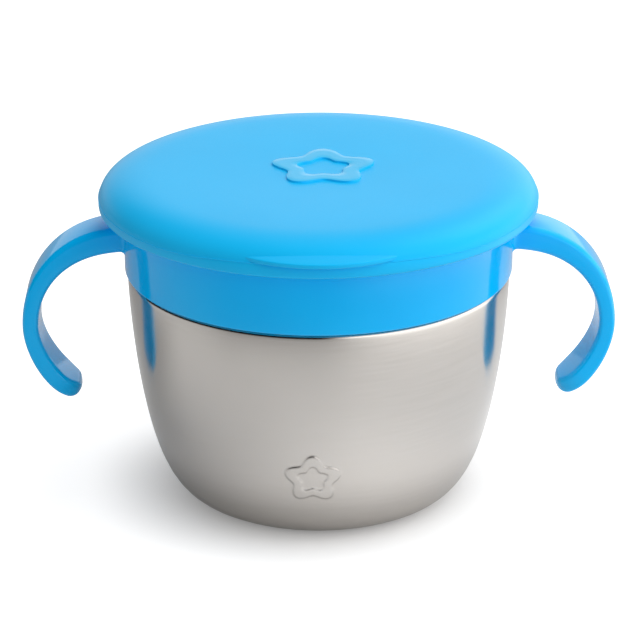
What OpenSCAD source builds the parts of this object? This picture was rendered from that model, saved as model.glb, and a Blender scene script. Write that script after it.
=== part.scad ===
// Toddler snack container: a drawn steel bowl, a screw-on collar moulded with two
// hook handles, a seal ring, a soft insert with four flaps and a soft overcap lid.
// Z points up from the table, X runs through both handles and the lid's finger
// tab points along -Y. The origin is on the table under the middle of the bowl.

/* [Bowl] */
// Radius of the bowl's side where it is widest, under the collar
bowl_r = 44.8; // [42:0.1:50]
// Radius of the flat foot that the bowl stands on
foot_r = 24.6; // [23:0.1:30]
// Height of the bowl's side, from the table to the start of the shoulder
side_h = 53.9; // [45:0.1:65]
// How full the side's lower corner is: 2 is an ellipse, more is fuller
side_fullness = 3.24; // [2.4:0.01:3.6]
// How early the side turns upright: 2 is an ellipse, less keeps it leaning longer
side_upright = 1.47; // [1.3:0.01:2.2]
// Thickness of the drawn steel
steel_t = 0.7; // [0.5:0.05:1]
// Radius of the rounded shoulder over the side
shoulder_round = 1.4; // [1.2:0.1:2]
// How far the neck stands in from the side
neck_inset = 2.9; // [2.6:0.1:4]
// Radius of the hollow corner between shoulder and neck
neck_round = 0.8; // [0.4:0.1:1]
// Height of the neck, from the top of the shoulder to the top of the lip
neck_h = 13.3; // [10:0.1:18]
// Radius of the rolled lip's curl
lip_round = 0.8; // [0.6:0.05:1]
// Width of the flat ring that the bowl stands on
foot_ring_w = 3.6; // [2.5:0.1:8]
// Depth of the pressed recess inside that ring
recess_d = 1; // [0.4:0.1:1.5]
// Width of the sloping step round the recess
recess_step = 2.5; // [2:0.1:3.5]

/* [Collar] */
// How far the collar's face stands proud of the bowl's side
collar_proud = 0.7; // [0.4:0.1:1.5]
// Thickness of the collar's wall
collar_t = 2; // [1.6:0.1:2.4]
// Gap between the collar's lower edge and the bowl's shoulder
collar_gap = 0.4; // [0.3:0.05:0.8]
// Thickness of the flange that reaches in over the bowl's lip
flange_t = 1.7; // [1.4:0.1:3]
// Width of that flange, from the collar's wall in to the mouth
flange_w = 7.3; // [6:0.1:9]
// Height of the collar's rim above the flange
rim_h = 3.4; // [3:0.1:6]
// Rounding of the collar's lower outer edge and of its rim
collar_round = 0.6; // [0.3:0.1:0.7]
// How far the lid's bead stands out round the collar
bead_out = 0.2; // [0.1:0.05:0.25]
// Radius of that bead's section
bead_round = 0.6; // [0.4:0.1:0.8]
// Height of the bead's middle above the flange
bead_h = 1.2; // [0.8:0.1:2]

/* [Handles] */
// Distance from the collar's rim down to the middle of a handle's root
root_drop = 11.9; // [10:0.1:13]
// Reach of a handle's middle line beyond the collar's face
handle_reach = 22.3; // [18:0.1:30]
// Drop from the root to the outermost point of a handle
handle_drop = 21.7; // [18:0.1:26]
// Drop from the outermost point to the tip
hook_drop = 17.4; // [12:0.1:20]
// How far the tip turns back in under the arm
hook_in = 11.2; // [7:0.1:14]
// Length that the arm keeps its level direction, as a curve handle
arm_pull = 14.2; // [9:0.1:16]
// Length that the upper side keeps its upright direction
side_pull = 12.2; // [8:0.1:14]
// Length that the lower side keeps its upright direction
hook_pull = 6.6; // [5:0.1:10]
// Length that the tip keeps its own direction
tip_pull = 5.6; // [4:0.1:9]
// How far the tip falls over that length
tip_fall = 1.8; // [0:0.1:3]
// Width of a handle, front to back
handle_w = 12.6; // [9:0.1:16]
// Thickness at the root
root_t = 6.1; // [4:0.1:7]
// Thickness at the outermost point
side_t = 3.8; // [3:0.1:5]
// Thickness of the pad before the tip
pad_t = 4.4; // [3:0.1:5]
// Rounding of the long edges
handle_round = 1.5; // [0.8:0.1:1.9]
// Length over which the tip is rounded, seen from above
nose_l = 7.2; // [4:0.1:9]
// Fillet where a handle grows out of the collar
root_fillet = 1.3; // [0.8:0.1:2.2]
// Length over which the root's hollow, bent to the collar, levels out
root_blend = 9; // [5:0.5:12]

/* [Seal ring] */
// Thickness of the seal ring
seal_t = 1.5; // [1:0.1:2.5]
// Width of the seal ring
seal_w = 2.9; // [2.2:0.1:3.4]

/* [Flap insert] */
// How far the insert's two lips reach over the flange
grip_w = 2.2; // [1.5:0.1:3]
// Thickness of each of those lips
grip_t = 1; // [0.8:0.1:1.2]
// Thickness of the insert's wall inside the mouth
insert_wall = 2.6; // [1.8:0.1:3]
// Thickness of the membrane and of the flaps
flap_t = 1; // [0.8:0.1:1.4]
// Distance from the insert's wall in to the ends of the slits
slit_margin = 2.45; // [2:0.05:7]
// Width of the slits
slit_w = 0.6; // [0.4:0.1:1.2]
// Radius of the round holes that end the slits
slit_end_r = 0.9; // [0.6:0.1:1.2]
// Radius of the finger hole in the middle
middle_r = 1.6; // [1:0.1:4]
// Gap that stands for the thin web on each fold line
fold_gap = 0.2; // [0.15:0.05:0.3]
// Slope of each side of the groove under a fold line, from upright
fold_slope = 38; // [36:1:45]

/* [Lid] */
// How far the lid's widest ring stands out beyond the collar
lid_overhang = 5.7; // [4.5:0.1:8]
// Width of the rounded edge, from the widest ring in to the top's highest ring
lid_edge_w = 13.2; // [9:0.1:18]
// Height of the top's highest ring above the widest ring
lid_crown = 6.7; // [5:0.1:7.5]
// Roundness of the edge: 2 is an ellipse, more is squarer
lid_squareness = 2.65; // [2:0.05:3.4]
// Height of the widest ring above the bottom face
lid_under = 1.5; // [1:0.1:2.5]
// Width of the lid's bottom face
lid_land = 2.2; // [1.2:0.1:2.6]
// Thickness of the lid's top at its highest ring
lid_t = 2.6; // [1.8:0.1:3]
// How far the top is dished in the middle
lid_dish = 0.4; // [0:0.1:0.8]
// Thickness of the ring that plugs the collar's rim
plug_t = 1.6; // [1.2:0.1:2.4]
// Depth of that ring under the lid's top
plug_h = 2.4; // [1.5:0.1:2.6]
// Width of the finger tab
tab_w = 34; // [24:0.1:44]
// Depth of the finger tab's underside below the top's highest ring
tab_drop = 4.2; // [3.5:0.1:5]
// Reach of the finger tab beyond the lid's widest ring
tab_out = 1.9; // [1:0.1:4]
// Height of the tab's front edge
tab_h = 1; // [0.8:0.1:2]
// Rise of the tab's top for each millimetre inwards
tab_slope = 0.23; // [0.1:0.01:0.3]
// How far the tab's body reaches in behind the lid's face
tab_root = 1.5; // [1:0.1:1.8]

/* [Clearances] */
// Clearance at the seal ring, above, below and outside it
seal_gap = 0.2; // [0.1:0.05:0.3]
// Clearance between the insert's groove and the flange
grip_gap = 0.15; // [0.1:0.05:0.3]
// Clearance between the lid and the collar
lid_gap = 0.3; // [0.3:0.05:0.5]

/* [Hidden] */
$fn = 96;

// Bowl: heights and radii that the other pieces are fitted to
neck_r = bowl_r - neck_inset;
recess_r = foot_r - foot_ring_w - recess_step;
shoulder_z = side_h + shoulder_round;
lip_z = shoulder_z + neck_h;

// Collar
collar_r = bowl_r + collar_proud;
collar_in_r = collar_r - collar_t;
collar_z = shoulder_z + collar_gap;
flange_z = lip_z + seal_t + 2 * seal_gap;
flange_top = flange_z + flange_t;
mouth_r = collar_in_r - flange_w;
rim_z = flange_top + rim_h;

// Flap insert: its groove grips the flange's edge
groove_r = mouth_r - grip_gap;
grip_r = mouth_r + grip_w;
insert_in_r = groove_r - insert_wall;
insert_z = flange_z - grip_gap - grip_t;
insert_top = flange_top + grip_gap + grip_t;
flap_z = flange_z + (flange_t - flap_t) / 2;
slit_r = insert_in_r - slit_margin;
fold_x = slit_r * cos(45);

// Lid: its ceiling rests over the collar's rim
lid_r = collar_r + lid_overhang;
lid_flat_r = lid_r - lid_edge_w;
lid_in_r = collar_r + lid_gap + bead_out;
ceiling_z = rim_z + lid_gap;
lid_top = ceiling_z + lid_t;
wide_z = lid_top - lid_crown;
lid_z = wide_z - lid_under;
land_r = lid_in_r + lid_land;
plug_r = collar_in_r - lid_gap;

steel = [0.76, 0.76, 0.77];
azure = [0.13, 0.62, 0.93];
pale_azure = [0.36, 0.78, 0.98];
soft_azure = [0.20, 0.70, 0.95];
clear_white = [0.90, 0.92, 0.93];

// Points on a circle round c, from angle a0 to a1
function arc(c, r, a0, a1, n = 8) =
    [for (i = [0:n]) c + r * [cos(a0 + (a1 - a0) * i / n), sin(a0 + (a1 - a0) * i / n)]];

// Unit vector along v
function unit(v) = v / norm(v);

// Direction of an open path at its point i
function path_dir(p, i) = unit(p[min(i + 1, len(p) - 1)] - p[max(i - 1, 0)]);

// The path moved sideways by d, to the left of its direction
function beside(p, d) =
    [for (i = [0:len(p) - 1]) let (t = path_dir(p, i)) p[i] + d * [-t[1], t[0]]];

function reversed(p) = [for (i = [len(p) - 1:-1:0]) p[i]];

// Outer face of the steel in the half plane: recess, foot, side, shoulder and neck
side_steps = 28;
recess_steps = 8;
function recess_points() = concat(
    [[0, recess_d]],
    [for (i = [0:recess_steps]) let (u = i / recess_steps)
        [recess_r + u * recess_step, recess_d * (1 + cos(180 * u)) / 2]]);
function side_points() =
    [for (i = [0:side_steps]) let (a = 90 * pow(i / side_steps, 1.6))
        [foot_r + (bowl_r - foot_r) * pow(sin(a), 2 / side_fullness),
            side_h * (1 - pow(cos(a), 2 / side_upright))]];
shoulder_start = 15;
function shoulder_points() =
    arc([bowl_r - shoulder_round, side_h], shoulder_round, shoulder_start, 90, 5);
function neck_points() = concat(
    arc([neck_r + neck_round, shoulder_z + neck_round], neck_round, 270, 180, 5),
    [[neck_r, lip_z - lip_round]]);

module bowl() {
    outer = concat(recess_points(), side_points(), shoulder_points(), neck_points());
    inner = beside(outer, steel_t);
    top_in = [neck_r - steel_t, lip_z - lip_round];
    wall = concat(outer, [top_in], reversed([for (i = [1:len(inner) - 2]) inner[i]]),
        [[0, recess_d + steel_t]]);
    color(steel) {
        rotate_extrude() polygon(wall);
        // Rolled lip
        rotate_extrude() translate([neck_r - steel_t / 2, lip_z - lip_round]) circle(lip_round);
    }
}

// Middle line of the right handle, in X and Z: two curves that meet upright at
// the outermost point
root_x = collar_r - collar_t / 2;
out_x = collar_r + handle_reach;
root_z = rim_z - root_drop;
out_z = root_z - handle_drop;
tip = [out_x - hook_in, out_z - hook_drop];
arm_curve = [
    [root_x, root_z], [root_x + arm_pull, root_z],
    [out_x, out_z + side_pull], [out_x, out_z]];
hook_curve = [
    [out_x, out_z], [out_x, out_z - hook_pull],
    tip + [tip_pull, tip_fall], tip];
curve_steps = 60;
function bezier(c, t) =
    pow(1 - t, 3) * c[0] + 3 * pow(1 - t, 2) * t * c[1]
        + 3 * (1 - t) * t * t * c[2] + t * t * t * c[3];
handle_line = concat(
    [for (i = [0:curve_steps - 1]) bezier(arm_curve, i / curve_steps)],
    [for (i = [0:curve_steps]) bezier(hook_curve, i / curve_steps)]);

// Length along the middle line at each of its points
function lengths(p, i = 1, total = 0, out = [0]) =
    i == len(p) ? out
        : let (next = total + norm(p[i] - p[i - 1])) lengths(p, i + 1, next, concat(out, [next]));
line_s = lengths(handle_line);
line_x = [for (i = [0:len(line_s) - 1]) [line_s[i], handle_line[i][0]]];
line_z = [for (i = [0:len(line_s) - 1]) [line_s[i], handle_line[i][1]]];
line_l = line_s[len(line_s) - 1];
out_s = line_s[curve_steps];
function line_at(s) = [lookup(s, line_x), lookup(s, line_z)];
dir_step = 0.4;
function line_dir(s) =
    unit(line_at(min(s + dir_step, line_l)) - line_at(max(s - dir_step, 0)));

// Thickness and width of the handle at length s along it
function eased(u) = (1 - cos(180 * u)) / 2;
function plain_t(s) =
    s < out_s ? root_t + (side_t - root_t) * eased(s / out_s)
        : side_t + (pad_t - side_t) * eased(min(1, (s - out_s) / (line_l - out_s - nose_l)));
// How much of a round end of length l is left at distance e from the tip
function round_end(e, l) = e >= l ? 1 : sqrt(max(0, 1 - pow(1 - e / l, 2)));
// How far the root fillet stands out at distance u from the collar's face
function fillet_out(u) =
    u >= root_fillet ? 0
        : root_fillet - sqrt(max(0, pow(root_fillet, 2) - pow(root_fillet - max(0, u), 2)));
function handle_half_t(s) =
    plain_t(s) / 2 * round_end(line_l - s, plain_t(s) / 2) + fillet_out(s - collar_t / 2);
function handle_half_w(s) =
    handle_w / 2 * round_end(line_l - s, nose_l) + fillet_out(s - collar_t / 2);

// How far a point of the handle moves in, so that the root fits the round collar:
// all the way at the collar's face and not at all from root_blend outwards
function root_sink(x, y) =
    (collar_r - sqrt(pow(collar_r, 2) - pow(y, 2)))
        * (1 - eased(min(1, max(0, (x - collar_r) / root_blend))));

// One ring of the handle's skin at length s: a rounded rectangle across the line
corner_steps = 4;
tip_left = 0.03;
function section(s) =
    let (
        ht = handle_half_t(s),
        hw = handle_half_w(s),
        r = min(handle_round, 0.96 * min(ht, hw)),
        d = line_dir(s),
        c = line_at(s))
    [for (q = [0:3]) for (k = [0:corner_steps])
        let (
            a = 90 * q + 90 * k / corner_steps,
            u = (q == 0 || q == 3 ? 1 : -1) * (ht - r) + r * cos(a),
            v = (q < 2 ? 1 : -1) * (hw - r) + r * sin(a),
            x = c[0] - d[1] * u)
        [x - root_sink(x, v), v, c[1] + d[0] * u]];
fillet_steps = 5;
body_steps = 26;
nose_steps = 7;
stations = concat(
    [0],
    [for (i = [0:fillet_steps - 1]) collar_t / 2 + root_fillet * pow(i / fillet_steps, 1.5)],
    [for (i = [0:body_steps])
        let (a = collar_t / 2 + root_fillet, b = line_l - nose_l) a + (b - a) * i / body_steps],
    [for (i = [1:nose_steps]) line_l - nose_l * (1 - sin(90 * i / (nose_steps + 0.3)))],
    [line_l - tip_left]);

module right_handle() {
    rings = [for (s = stations) section(s)];
    m = len(rings[0]);
    n = len(rings);
    points = [for (ring = rings) for (p = ring) p];
    skin = [for (i = [0:n - 2]) for (j = [0:m - 1])
        let (
            a = i * m + j,
            b = i * m + (j + 1) % m)
        each [[a, b, b + m], [a, b + m, a + m]]];
    root_cap = [for (j = [1:m - 2]) [0, j + 1, j]];
    tip_cap = [for (j = [1:m - 2]) let (o = (n - 1) * m) [o, o + j, o + j + 1]];
    polyhedron(points, concat(skin, root_cap, tip_cap));
}

module collar() {
    inner_round = collar_round / 2;
    section = concat(
        [[collar_in_r, collar_z]],
        arc([collar_r - collar_round, collar_z + collar_round], collar_round, 270, 360, 4),
        arc([collar_r - collar_round, rim_z - collar_round], collar_round, 0, 90, 4),
        arc([collar_in_r + inner_round, rim_z - inner_round], inner_round, 90, 180, 3),
        arc([collar_in_r - collar_round, flange_top + collar_round], collar_round, 0, -90, 4),
        [[mouth_r, flange_top], [mouth_r, flange_z], [collar_in_r, flange_z]]);
    color(azure) union() {
        rotate_extrude() polygon(section);
        // Bead that the lid closes over
        rotate_extrude()
            translate([collar_r + bead_out - bead_round, flange_top + bead_h]) circle(bead_round);
        right_handle();
        rotate([0, 0, 180]) right_handle();
    }
}

module seal_ring() {
    color(clear_white) rotate_extrude()
        translate([collar_in_r - seal_gap - seal_w, lip_z + seal_gap]) square([seal_w, seal_t]);
}

// Ring that grips the flange, with the membrane that carries the flaps
module flap_rim() {
    edge = grip_t * 0.4;
    ring = concat(
        arc([insert_in_r + edge, insert_z + edge], edge, 180, 270, 3),
        arc([grip_r - edge, insert_z + edge], edge, 270, 360, 3),
        [[grip_r, insert_z + grip_t], [groove_r, insert_z + grip_t],
            [groove_r, insert_top - grip_t], [grip_r, insert_top - grip_t]],
        arc([grip_r - edge, insert_top - edge], edge, 0, 90, 3),
        arc([insert_in_r + edge, insert_top - edge], edge, 90, 180, 3));
    color(soft_azure) {
        rotate_extrude() polygon(ring);
        difference() {
            translate([0, 0, flap_z]) cylinder(h = flap_t, r = insert_in_r + insert_wall / 2);
            // Square that the four flaps fill
            for (k = [0:3]) rotate([0, 0, 90 * k]) fold_wedge(-fold_gap / 2);
            for (k = [0:3]) rotate([0, 0, 45 + 90 * k])
                translate([slit_r, 0, flap_z - 1]) cylinder(h = flap_t + 2, r = slit_end_r);
        }
    }
}

// Wedge under one flap, from the middle to its fold line. Its outer face leans
// outwards towards the underside, which makes one side of the fold's groove
module fold_wedge(inset) {
    lean = (flap_t + 1) * tan(fold_slope);
    top_x = fold_x - inset;
    reach = fold_x + lean;
    intersection() {
        rotate([90, 0, 0]) linear_extrude(2 * reach, center = true)
            polygon([[-1, flap_z - 1], [top_x + lean, flap_z - 1],
                [top_x, flap_z + flap_t], [top_x, flap_z + flap_t + 1], [-1, flap_z + flap_t + 1]]);
        translate([0, 0, flap_z - 2]) linear_extrude(flap_t + 4)
            polygon([[-0.5, 0], [0, -0.5], [fold_x, -fold_x], [reach, -fold_x],
                [reach, fold_x], [fold_x, fold_x], [0, 0.5]]);
    }
}

// Flap on the +X side, turned by angle: a right-angled triangle whose tip is in the
// middle of the mouth. Its fold face leans in towards the underside
module flap(angle) {
    half_slit = slit_w / 2 / cos(45);
    top_x = fold_x - fold_gap / 2;
    lean = flap_t * tan(fold_slope);
    color(soft_azure) rotate([0, 0, angle]) difference() {
        translate([0, 0, flap_z]) linear_extrude(flap_t)
            polygon([[half_slit, 0], [top_x, half_slit - top_x], [top_x, top_x - half_slit]]);
        translate([0, 0, flap_z - 1]) cylinder(h = flap_t + 2, r = middle_r);
        rotate([90, 0, 0]) linear_extrude(2 * slit_r, center = true)
            polygon([[top_x - lean, flap_z], [top_x, flap_z + flap_t], [top_x + 1, flap_z + flap_t],
                [top_x + 1, flap_z - 1], [top_x - lean, flap_z - 1]]);
        for (side = [-1, 1])
            translate([fold_x, side * fold_x, flap_z - 1]) cylinder(h = flap_t + 2, r = slit_end_r);
    }
}

// Radius of the lid's rounded edge at height z
function lid_edge_r(z) =
    let (a = asin(pow((z - wide_z) / lid_crown, lid_squareness / 2)))
    lid_flat_r + lid_edge_w * pow(cos(a), 2 / lid_squareness);

// Finger tab at the front of the lid: a crescent on an arc that meets the lid's
// face at both ends, with a top that slopes down to its front edge
module finger_tab() {
    tab_z = lid_top - tab_drop;
    end_r = lid_edge_r(tab_z + tab_h);
    half = tab_w / 2;
    end_y = sqrt(pow(end_r, 2) - pow(half, 2));
    front_y = lid_r + tab_out;
    centre_y = (pow(front_y, 2) - pow(end_r, 2)) / (2 * (front_y - end_y));
    tab_r = front_y - centre_y;
    half_angle = asin(half / tab_r) + 1;
    reach = front_y - lid_edge_r(tab_z) + tab_root;
    inner_r = tab_r - reach;
    edge = tab_h / 4;
    section = concat(
        [[inner_r, tab_z]],
        arc([tab_r - edge, tab_z + edge], edge, 270, 360, 3),
        arc([tab_r - edge, tab_z + tab_h - edge], edge, 0, 70, 3),
        [[inner_r, tab_z + tab_h + reach * tab_slope]]);
    translate([0, -centre_y, 0]) rotate([0, 0, -90 - half_angle])
        rotate_extrude(angle = 2 * half_angle) polygon(section);
}

module lid() {
    edge_steps = 20;
    dish_steps = 5;
    top = [for (i = [0:dish_steps]) let (u = i / dish_steps)
        [lid_flat_r * u, lid_top - lid_dish * (1 + cos(180 * u)) / 2]];
    edge = [for (i = [1:edge_steps]) let (a = 90 - 90 * i / edge_steps)
        [lid_flat_r + lid_edge_w * pow(cos(a), 2 / lid_squareness),
            wide_z + lid_crown * pow(max(0, sin(a)), 2 / lid_squareness)]];
    under = [for (i = [1:8]) let (a = 90 * i / 8)
        [land_r + (lid_r - land_r) * cos(a), wide_z - lid_under * sin(a)]];
    inside = [
        [lid_in_r, lid_z], [lid_in_r, ceiling_z], [plug_r, ceiling_z],
        [plug_r, ceiling_z - plug_h], [plug_r - plug_t, ceiling_z - plug_h],
        [plug_r - plug_t, ceiling_z], [0, ceiling_z]];
    color(pale_azure) {
        rotate_extrude() polygon(concat(top, edge, under, inside));
        finger_tab();
    }
}

bowl();
collar();
seal_ring();
flap_rim();
flap(-90);  // flap_front
flap(0);  // flap_right
flap(90);  // flap_back
flap(180);  // flap_left
lid();
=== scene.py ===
import math

import bmesh
import bpy
from mathutils import Matrix, Vector


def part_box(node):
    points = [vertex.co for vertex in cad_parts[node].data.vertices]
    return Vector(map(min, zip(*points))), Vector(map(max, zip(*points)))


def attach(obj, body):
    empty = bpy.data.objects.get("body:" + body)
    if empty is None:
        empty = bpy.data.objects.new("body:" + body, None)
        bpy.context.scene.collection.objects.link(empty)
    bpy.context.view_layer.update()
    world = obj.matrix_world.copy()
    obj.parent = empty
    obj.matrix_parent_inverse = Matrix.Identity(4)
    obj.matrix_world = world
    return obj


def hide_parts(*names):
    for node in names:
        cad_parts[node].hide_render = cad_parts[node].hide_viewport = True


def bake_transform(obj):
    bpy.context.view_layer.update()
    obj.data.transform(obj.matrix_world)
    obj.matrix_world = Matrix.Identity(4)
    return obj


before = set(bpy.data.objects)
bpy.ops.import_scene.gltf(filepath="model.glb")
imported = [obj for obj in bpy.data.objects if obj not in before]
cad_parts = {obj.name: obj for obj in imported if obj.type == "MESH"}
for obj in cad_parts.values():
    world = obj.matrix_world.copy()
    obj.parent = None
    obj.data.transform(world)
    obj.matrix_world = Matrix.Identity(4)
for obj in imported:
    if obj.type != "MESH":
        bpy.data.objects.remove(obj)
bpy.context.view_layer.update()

# Shapes are drawn in millimetres and turned to metres when a piece is finished
MM = 0.001


def node_box(name):
    """Lowest and highest corner of a node, in millimetres."""
    low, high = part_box(name)
    return low / MM, high / MM


# Bowl
BOWL_R = node_box("bowl")[1].x
LIP_Z = node_box("bowl")[1].z
FOOT_R = 24.6
SIDE_H = 53.9
SIDE_FULLNESS = 3.24
SIDE_UPRIGHT = 1.47
STEEL_T = 0.7
SHOULDER_H = 1.4
SHOULDER_ROUND = 0.9
NECK_R = BOWL_R - 2.9
NECK_ROUND = 0.8
SHOULDER_Z = SIDE_H + SHOULDER_H
LIP_ROUND = 0.8
RECESS_R = 18.5
RECESS_D = 1.0
RECESS_STEP = 2.5

# Screw thread: one rounded ridge on the neck, and its partner inside the collar, which is short
# enough to stay under the seal ring while the collar unscrews
PITCH = 4.0
NECK_THREAD_TURNS = 1.4
COLLAR_THREAD_TURNS = 0.52
NECK_THREAD_Z = 58.4
NECK_THREAD_H = 0.95
COLLAR_THREAD_H = 0.95
THREAD_HALF_W = 1.15
THREAD_FADE = math.radians(26)

# Soft five-pointed star, embossed on the bowl and raised on the lid
STAR_POINTS = 5
STAR_DEPTH = 0.17
BOWL_STAR_R = 5.6
BOWL_STAR_HOLE = 0.55
BOWL_STAR_H = 0.32
BOWL_STAR_SLOPE = 0.75
BOWL_STAR_TURN = math.radians(-92.8)
BOWL_STAR_Z = 18.4
BOWL_STAR_LEAN = 0.97
LID_STAR_R = 10.6
LID_STAR_HOLE_R = 5.6
LID_STAR_HOLE_DEPTH = 0.13
LID_STAR_H = 0.45
LID_STAR_X = 1.2
LID_STAR_Y = 3.0

# Collar
RIM_Z = node_box("collar")[1].z
BEAD_OUT = 0.2
COLLAR_R = node_box("collar")[1].y - BEAD_OUT
COLLAR_IN_R = COLLAR_R - 2.0
COLLAR_Z = SHOULDER_Z + 0.2
COLLAR_ROUND = 0.6
RIM_H = 3.4
FLANGE_TOP = RIM_Z - RIM_H
FLANGE_Z = FLANGE_TOP - 1.7
MOUTH_R = 36.2
BEAD_ROUND = 0.6
BEAD_H = 1.2

# Handles
HANDLE_OUT = node_box("collar")[1].x
ROOT_X = COLLAR_R - 1.0
ROOT_Z = RIM_Z - 11.9
OUT_T = 3.8
OUT_X = HANDLE_OUT - OUT_T / 2
OUT_Z = ROOT_Z - 21.7
TIP_X = OUT_X - 11.2
TIP_Z = OUT_Z - 17.4
ROOT_T = 6.1
PAD_T = 4.4
HANDLE_W = 12.6
HANDLE_ROUND = 1.5
NOSE_L = 7.2
ROOT_FILLET = 1.3
ROOT_BLEND = 9.0

# Seal ring
SEAL_LOW, SEAL_HIGH = node_box("seal_ring")
SEAL_OUT_R = SEAL_HIGH.x
SEAL_W = 2.9

# Flap insert
GRIP_R = node_box("flap_rim")[1].x
GRIP_T = 1.0
INSERT_Z = node_box("flap_rim")[0].z
INSERT_TOP = node_box("flap_rim")[1].z
GROOVE_R = MOUTH_R - 0.15
INSERT_IN_R = GROOVE_R - 2.6
FLAP_Z = node_box("flap_right")[0].z
FLAP_T = 1.0
FLAP_TOP = FLAP_Z + FLAP_T
SLIT_R = 31.0
SLIT_W = 0.6
SLIT_END_R = 0.9
MIDDLE_R = 1.6
FOLD_X = SLIT_R * math.cos(math.radians(45))
WEB_T = 0.35

# Lid
LID_R = COLLAR_R + 5.7
LID_TOP = node_box("lid")[1].z
LID_EDGE_W = 13.2
LID_FLAT_R = LID_R - LID_EDGE_W
LID_CROWN = 6.7
LID_SQUARENESS = 2.65
LID_UNDER = 1.5
WIDE_Z = LID_TOP - LID_CROWN
LID_Z = WIDE_Z - LID_UNDER
LID_IN_R = COLLAR_R + 0.5
LID_LAND_R = LID_IN_R + 2.2
LID_DISH = 0.4
CEILING_Z = RIM_Z + 0.3
PLUG_R = COLLAR_IN_R - 0.3
PLUG_T = 1.6
PLUG_H = 2.4
TAB_W = 34.0
TAB_Z = LID_TOP - 4.2
TAB_OUT = 1.9
TAB_H = 1.0
TAB_SLOPE = 0.23
TAB_ROOT = 1.5

# Parting line of the mould round the lid's edge, which climbs to the tab's corners
SEAM_Z = LID_TOP - 5.2
SEAM_RISE = 0.9
SEAM_R = 0.14

# Camera: how the photograph was taken
CAMERA_TARGET = Vector((0, 0, 0.045))
CAMERA_DISTANCE = 0.7
CAMERA_ELEVATION = math.radians(21.7)
CAMERA_TURN = 0.013
CAMERA_ROLL = -0.003
CAMERA_LENS = 166.54
CAMERA_SENSOR = 36.0
CAMERA_SHIFT_X = 0.00195
CAMERA_SHIFT_Y = -0.0238

# Light: brightness of the room for matt surfaces, and of the floor's own glow for the camera
ROOM_LIGHT = 0.48
FLOOR_GLOW = (0.18, 0.6)

# The blue plastics' reflections, seen straight on, take on some of their blue
COLLAR_SHEEN = "#C8F1FF"
LID_SHEEN = "#C4F0FF"

SHARP_ANGLE = math.radians(38)


def smooth(t):
    """0 below 0, 1 above 1, and an even slope without corners between."""
    t = min(1.0, max(0.0, t))
    return t * t * (3 - 2 * t)


def arc(centre, radius, start, end, steps=8):
    """Points of an arc from start to end, in degrees, in the half plane of radius and height."""
    angles = [math.radians(start + (end - start) * i / steps) for i in range(steps + 1)]
    return [(centre[0] + radius * math.cos(a), centre[1] + radius * math.sin(a)) for a in angles]


def line(start, end, spacing):
    """Points along a straight line, start left out, at most spacing apart."""
    steps = max(1, math.ceil(math.dist(start, end) / spacing))
    return [(start[0] + (end[0] - start[0]) * i / steps, start[1] + (end[1] - start[1]) * i / steps)
            for i in range(1, steps + 1)]


def beside(points, distance):
    """An open path moved sideways to its left."""
    moved = []
    for i, (r, z) in enumerate(points):
        before, after = points[max(i - 1, 0)], points[min(i + 1, len(points) - 1)]
        along = Vector((after[0] - before[0], after[1] - before[1])).normalized()
        moved.append((r - along.y * distance, z + along.x * distance))
    return moved


def spun(outline, stretches, closed=False):
    """A half outline turned round the Z axis. Stretches are pairs of degrees and steps."""
    bm = bmesh.new()
    verts = [bm.verts.new((r, 0, z)) for r, z in outline]
    edges = [bm.edges.new(pair) for pair in zip(verts, verts[1:])]
    if closed:
        edges.append(bm.edges.new((verts[-1], verts[0])))
    geom = verts + edges
    for degrees, steps in stretches:
        turned = bmesh.ops.spin(
            bm, geom=geom, cent=(0, 0, 0), axis=(0, 0, 1), angle=math.radians(degrees),
            steps=steps, use_merge=degrees == 360)
        geom = turned["geom_last"]
    bmesh.ops.remove_doubles(bm, verts=bm.verts, dist=1e-4)
    bmesh.ops.recalc_face_normals(bm, faces=bm.faces)
    return bm


def joined(*parts):
    """Several shapes as one."""
    whole = bmesh.new()
    for part in parts:
        mesh = bpy.data.meshes.new("part")
        part.to_mesh(mesh)
        part.free()
        whole.from_mesh(mesh)
        bpy.data.meshes.remove(mesh)
    return whole


def piece(bm, name, node, slot, *materials):
    """Turns a shape to metres and makes it an object that stands for a node."""
    bmesh.ops.scale(bm, vec=(MM, MM, MM), verts=bm.verts)
    mesh = bpy.data.meshes.new(name)
    bm.to_mesh(mesh)
    bm.free()
    mesh.shade_smooth()
    mesh.set_sharp_from_angle(angle=SHARP_ANGLE)
    for material in materials:
        mesh.materials.append(material)
    made = bpy.data.objects.new(name, mesh)
    bpy.context.scene.collection.objects.link(made)
    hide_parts(node)
    return made


def linear(colour):
    """An sRGB hex value as linear red, green, blue and full alpha."""
    shares = [int(colour[i:i + 2], 16) / 255 for i in (1, 3, 5)]
    return tuple(c / 12.92 if c <= 0.04045 else ((c + 0.055) / 1.055) ** 2.4 for c in shares) + (1.0,)


def add(tree, kind, inputs=None, **settings):
    """A node with its settings, each input set to a value or linked to a socket."""
    made = tree.nodes.new(kind)
    for name, value in settings.items():
        setattr(made, name, value)
    for name, value in (inputs or {}).items():
        if isinstance(value, bpy.types.NodeSocket):
            tree.links.new(value, made.inputs[name])
        else:
            made.inputs[name].default_value = value
    return made


def started(name):
    """An empty node material, its tree and its Object coordinates."""
    material = bpy.data.materials.new(name)
    material.use_nodes = True
    tree = material.node_tree
    tree.nodes.clear()
    return material, tree, add(tree, "ShaderNodeTexCoord").outputs["Object"]


def between(tree, factor, low, high):
    """A colour between two sRGB hex values, by a noise factor."""
    mix = add(tree, "ShaderNodeMix", {"Factor": factor, 6: linear(low), 7: linear(high)}, data_type="RGBA")
    return mix.outputs[2]


def spread(tree, factor, low, high):
    """A noise factor stretched to run from low to high."""
    return add(tree, "ShaderNodeMapRange", {
        "Value": factor, "From Min": 0.3, "From Max": 0.7, "To Min": low, "To Max": high}).outputs["Result"]


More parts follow.
